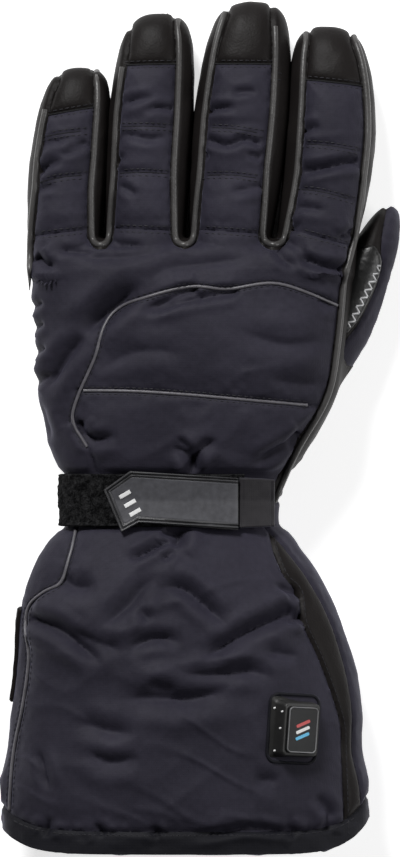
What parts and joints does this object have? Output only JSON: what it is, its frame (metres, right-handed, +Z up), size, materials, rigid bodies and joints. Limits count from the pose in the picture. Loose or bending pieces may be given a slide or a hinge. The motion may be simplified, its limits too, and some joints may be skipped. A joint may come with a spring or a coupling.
{
  "type": "heated gauntlet glove",
  "caption": "Left-hand padded winter glove with a long flared cuff, wrist strap and heater switch, open at the hem for hand and sleeve.",
  "frame": {"origin": "on the flat underside of the palm, midway across it and 36 mm below the finger crotches", "axes": "+Y along the hand to the fingertips, +X across it to the thumb, +Z up out of the back of the hand"},
  "size_m": [0.159, 0.3392, 0.0612],
  "materials": {
    "textile": "navy-black nylon, matt with a soft sheen",
    "leather": "fine black grain, half gloss",
    "binding": "folded woven tape, matt",
    "piping": "grey reflective cord, satin",
    "grip_patch": "textured, with a silver zigzag",
    "loop_pile": "fuzzy loop pile",
    "strap_rubber": "moulded, satin face with a raised rim",
    "switch_rubber": "moulded, matt",
    "switch_face": "gloss with a grey outline"
  },
  "bodies": {
    "root": {"palm": "leather", "little_back": "textile", "little_cap": "leather", "ring_back": "textile", "ring_cap": "leather", "middle_back": "textile", "middle_cap": "leather", "index_back": "textile", "index_cap": "leather", "fourchette_little_ring": "leather", "fourchette_ring_middle": "leather", "fourchette_middle_index": "leather", "little_side_strip": "leather", "index_side_strip": "leather", "hand_back_upper": "textile", "hand_back_centre": "textile", "hand_back_lower": "textile", "arc_piping": "piping", "cross_piping": "piping", "cuff_piping": "piping", "thumb_back": "textile", "thumb_palm": "leather", "thumb_patch": "grip_patch", "cuff_back": "textile", "cuff_side": "textile", "cuff_palm": "textile", "cuff_gusset": "leather", "hem_binding": "binding", "loop_strip": "loop_pile", "strap_end": "textile", "strap_tab": "strap_rubber", "pull_tab": "leather", "switch_housing": "switch_rubber", "switch_face": "switch_face"}
  },
  "joints": []
}
